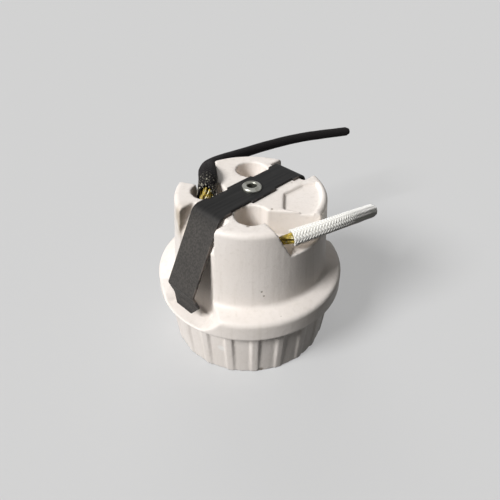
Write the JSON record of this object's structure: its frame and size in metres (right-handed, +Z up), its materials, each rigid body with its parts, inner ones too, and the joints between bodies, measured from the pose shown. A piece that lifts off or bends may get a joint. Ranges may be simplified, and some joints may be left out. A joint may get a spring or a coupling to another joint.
{
  "type": "lamp holder",
  "caption": "Round porcelain lamp holder with ribbed skirt and flange, screw shell, snap-in spring clip across the top, and two sleeved wire leads.",
  "frame": {"origin": "centre of the porcelain skirt's lower edge, where the lamp goes in", "axes": "+Z runs up the lamp's axis, from the mouth to the clip; +X runs along the spring clip; the leads leave at -X, one at -Y and one at +Y, and run off towards +X"},
  "size_m": [0.0838, 0.0481, 0.0421],
  "materials": {
    "porcelain": "satin glaze with small pits and a brown stain by one clip slot",
    "black_steel": "black oxide, satin",
    "nickel": "bright nickel plate, lightly dulled",
    "shell_metal": "rolled sheet, satin",
    "contact_brass": "stamped, satin",
    "tinned_copper": "tinned strands, drawn as one solid",
    "inner_insulation": "yellow-olive, matt",
    "white_sleeve": "woven sleeve, matt",
    "black_sleeve": "woven sleeve, matt"
  },
  "bodies": {
    "root": {"porcelain_body": "porcelain", "mounting_clip": "black_steel", "clip_eyelet": "nickel", "eyelet_washer": "nickel", "screw_shell": "shell_metal", "shell_rivet_front": "nickel", "shell_rivet_back": "nickel", "contact_rivet": "nickel", "centre_contact": "contact_brass", "white_terminal": "contact_brass", "black_terminal": "contact_brass", "white_conductor": "tinned_copper", "black_conductor": "tinned_copper", "white_lead_insulation": "inner_insulation", "black_lead_insulation": "inner_insulation", "white_lead": "white_sleeve", "black_lead": "black_sleeve"}
  },
  "joints": []
}
